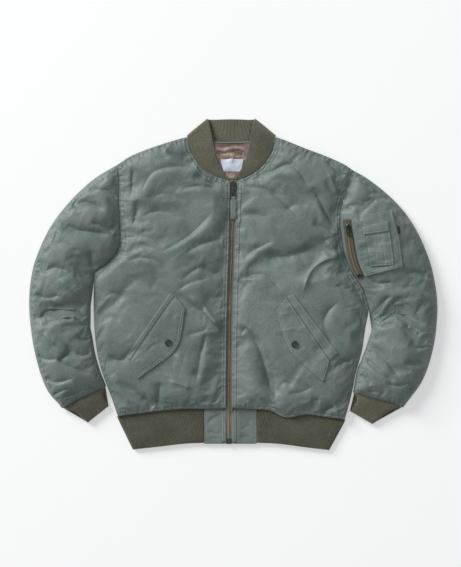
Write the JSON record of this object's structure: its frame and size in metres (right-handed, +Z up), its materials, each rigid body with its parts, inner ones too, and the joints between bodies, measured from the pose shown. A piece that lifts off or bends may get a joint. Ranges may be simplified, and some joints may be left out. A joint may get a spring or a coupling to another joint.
{
  "type": "bomber jacket",
  "caption": "Padded nylon bomber jacket laid flat, with ribbed collar, cuffs and hem, a front zip, slanted flap pockets and a zipped sleeve pocket.",
  "frame": {"origin": "centre of the footprint on the surface that the jacket lies on", "axes": "+Z up out of the surface, +Y from the hem towards the collar, +X towards the wearer's left sleeve"},
  "size_m": [0.8978, 0.7308, 0.0418],
  "materials": {
    "shell_nylon": "satin woven flight nylon, soft sheen",
    "rib_knit": "matte rib knit",
    "lining_nylon": "satin lining",
    "zip_tape": "matte woven tape",
    "gunmetal": "dark gunmetal",
    "label_cloth": "woven label"
  },
  "bodies": {
    "jacket": {"back_panel": "shell_nylon", "front_left": "shell_nylon", "front_right": "shell_nylon", "sleeve_left": "shell_nylon", "sleeve_right": "shell_nylon", "hem_tab_left": "shell_nylon", "hem_tab_right": "shell_nylon", "pocket_flap_left": "shell_nylon", "pocket_flap_right": "shell_nylon", "pocket_welt_left": "shell_nylon", "pocket_welt_right": "shell_nylon", "sleeve_pocket_patch": "shell_nylon", "pen_slot_patch": "shell_nylon", "pen_slot_band": "shell_nylon", "collar_rib": "rib_knit", "cuff_left": "rib_knit", "cuff_right": "rib_knit", "hem_rib": "rib_knit", "neck_lining": "lining_nylon", "neck_piping": "lining_nylon", "wind_flap": "lining_nylon", "main_zip_tape_left": "zip_tape", "main_zip_tape_right": "zip_tape", "main_zip_coil": "zip_tape", "sleeve_zip_tape": "zip_tape", "sleeve_zip_coil": "zip_tape", "main_slider": "gunmetal", "main_zip_stop": "gunmetal", "sleeve_slider": "gunmetal", "sleeve_zip_stop": "gunmetal", "snap_cap_left": "gunmetal", "snap_cap_right": "gunmetal", "neck_label": "label_cloth", "sleeve_side_tab": "label_cloth"},
    "main_pull": {"main_pull": "gunmetal", "main_pull_ribbon": "zip_tape"},
    "sleeve_pull": {"sleeve_pull": "gunmetal"}
  },
  "joints": [
    {"name": "main_pull_hinge", "type": "hinge", "parent": "jacket", "child": "main_pull", "pos_m": [0.00021, 0.21925, 0.0157], "axis": [-1, 0, 0], "range_deg": [0, 160]},
    {"name": "sleeve_pull_hinge", "type": "hinge", "parent": "jacket", "child": "sleeve_pull", "pos_m": [0.24978, 0.12778, 0.03266], "axis": [-0.924, -0.1327, -0.3587], "range_deg": [0, 150]}
  ]
}
